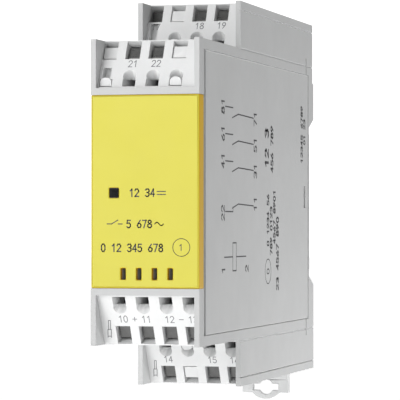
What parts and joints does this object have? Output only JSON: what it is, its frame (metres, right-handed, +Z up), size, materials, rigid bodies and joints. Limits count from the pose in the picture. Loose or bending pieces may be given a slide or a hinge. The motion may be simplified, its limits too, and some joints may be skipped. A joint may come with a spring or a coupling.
{
  "type": "safety relay",
  "caption": "Slim rail mounted safety relay: light grey stepped housing, yellow front cover, push-in terminals in two tiers above and below, sliding rail clip.",
  "frame": {"origin": "middle of the flat seat that lies on the mounting rail's face, at the rail's centre line", "axes": "+Z up the cabinet, +Y back towards the rail, +X along the rail to the right seen from the front"},
  "size_m": [0.0226, 0.1022, 0.0886],
  "materials": {
    "housing_plastic": "fine textured light grey moulding",
    "cover_plastic": "satin yellow moulding",
    "lens_plastic": "dark polished light guide",
    "terminal_plastic": "satin light grey moulding",
    "clip_plastic": "satin light grey moulding",
    "busbar_copper": "tinned, satin",
    "spring_steel": "bright rolled strip",
    "board_laminate": "green solder lacquer on laminate",
    "led_resin": "clear cast resin",
    "capacitor_can": "drawn can",
    "varistor_resin": "dipped blue resin",
    "resistor_resin": "dipped beige resin",
    "relay_case": "moulded white case",
    "relay_moulding": "dark glass filled moulding",
    "coil_wire": "lacquered copper winding",
    "soft_iron": "plated soft iron",
    "card_plastic": "orange moulded card",
    "contact_copper": "rolled copper alloy leaf with silver rivet"
  },
  "bodies": {
    "housing": {"blank_insert_lower_rear_3": "terminal_plastic", "blank_insert_upper_front_1": "terminal_plastic", "blank_insert_upper_front_4": "terminal_plastic", "blank_insert_upper_rear_2": "terminal_plastic", "busbar_lower_front_1": "busbar_copper", "busbar_lower_front_2": "busbar_copper", "busbar_lower_front_3": "busbar_copper", "busbar_lower_front_4": "busbar_copper", "busbar_lower_rear_1": "busbar_copper", "busbar_lower_rear_2": "busbar_copper", "busbar_lower_rear_4": "busbar_copper", "busbar_upper_front_2": "busbar_copper", "busbar_upper_front_3": "busbar_copper", "busbar_upper_rear_1": "busbar_copper", "busbar_upper_rear_3": "busbar_copper", "busbar_upper_rear_4": "busbar_copper", "capacitor": "capacitor_can", "circuit_board": "board_laminate", "clamp_spring_lower_front_1": "spring_steel", "clamp_spring_lower_front_2": "spring_steel", "clamp_spring_lower_front_3": "spring_steel", "clamp_spring_lower_front_4": "spring_steel", "clamp_spring_lower_rear_1": "spring_steel", "clamp_spring_lower_rear_2": "spring_steel", "clamp_spring_lower_rear_4": "spring_steel", "clamp_spring_upper_front_2": "spring_steel", "clamp_spring_upper_front_3": "spring_steel", "clamp_spring_upper_rear_1": "spring_steel", "clamp_spring_upper_rear_3": "spring_steel", "clamp_spring_upper_rear_4": "spring_steel", "clip_spring": "spring_steel", "coil_bobbin": "relay_moulding", "coil_core": "soft_iron", "coil_winding": "coil_wire", "fixed_contact_1": "contact_copper", "fixed_contact_2": "contact_copper", "fixed_contact_3": "contact_copper", "fixed_contact_4": "contact_copper", "front_cover": "cover_plastic", "housing": "housing_plastic", "led_lens": "lens_plastic", "relay_base": "relay_moulding", "relay_cover": "relay_case", "relay_pins": "contact_copper", "relay_yoke": "soft_iron", "resistors": "resistor_resin", "side_cover": "housing_plastic", "status_led": "led_resin", "terminal_block_lower_front": "terminal_plastic", "terminal_block_lower_rear": "terminal_plastic", "terminal_block_upper_front": "terminal_plastic", "terminal_block_upper_rear": "terminal_plastic", "varistor": "varistor_resin"},
    "din_clip_body": {"din_clip": "clip_plastic"},
    "armature_body": {"armature": "soft_iron"},
    "contact_card_body": {"contact_card": "card_plastic"},
    "moving_contact_1_body": {"moving_contact_1": "contact_copper"},
    "moving_contact_2_body": {"moving_contact_2": "contact_copper"},
    "moving_contact_3_body": {"moving_contact_3": "contact_copper"},
    "moving_contact_4_body": {"moving_contact_4": "contact_copper"}
  },
  "joints": [
    {"name": "din_clip_slide", "type": "slide", "parent": "housing", "child": "din_clip_body", "axis": [0, 0, -1], "range_m": [0, 0.0026], "stiffness_N_per_m": 1500, "springref_m": -0.001, "deforming": ["clip_spring"]},
    {"name": "contact_card_slide", "type": "slide", "parent": "housing", "child": "contact_card_body", "axis": [0, 0, -1], "range_m": [0, 0.00075], "stiffness_N_per_m": 200, "springref_m": -0.0015},
    {"name": "armature_hinge", "type": "hinge", "parent": "housing", "child": "armature_body", "pos_m": [-0.005, -0.038, 0.00135], "axis": [0, 1, 0], "range_deg": [0, 4.3]},
    {"name": "moving_contact_1_hinge", "type": "hinge", "parent": "housing", "child": "moving_contact_1_body", "pos_m": [-0.0054, -0.038, 0.0058], "axis": [0, 1, 0], "range_deg": [0, 4.2]},
    {"name": "moving_contact_2_hinge", "type": "hinge", "parent": "housing", "child": "moving_contact_2_body", "pos_m": [-0.0054, -0.038, 0.0101], "axis": [0, 1, 0], "range_deg": [0, 4.2]},
    {"name": "moving_contact_3_hinge", "type": "hinge", "parent": "housing", "child": "moving_contact_3_body", "pos_m": [-0.0054, -0.038, 0.0144], "axis": [0, 1, 0], "range_deg": [0, 4.2]},
    {"name": "moving_contact_4_hinge", "type": "hinge", "parent": "housing", "child": "moving_contact_4_body", "pos_m": [-0.0054, -0.038, 0.0187], "axis": [0, 1, 0], "range_deg": [0, 4.2]}
  ],
  "couplings": [
    {"joint": "armature_hinge", "follows": "contact_card_slide", "rad_per_m": 100},
    {"joint": "moving_contact_1_hinge", "follows": "contact_card_slide", "rad_per_m": 96.15},
    {"joint": "moving_contact_2_hinge", "follows": "contact_card_slide", "rad_per_m": 96.15},
    {"joint": "moving_contact_3_hinge", "follows": "contact_card_slide", "rad_per_m": 96.15},
    {"joint": "moving_contact_4_hinge", "follows": "contact_card_slide", "rad_per_m": 96.15}
  ]
}
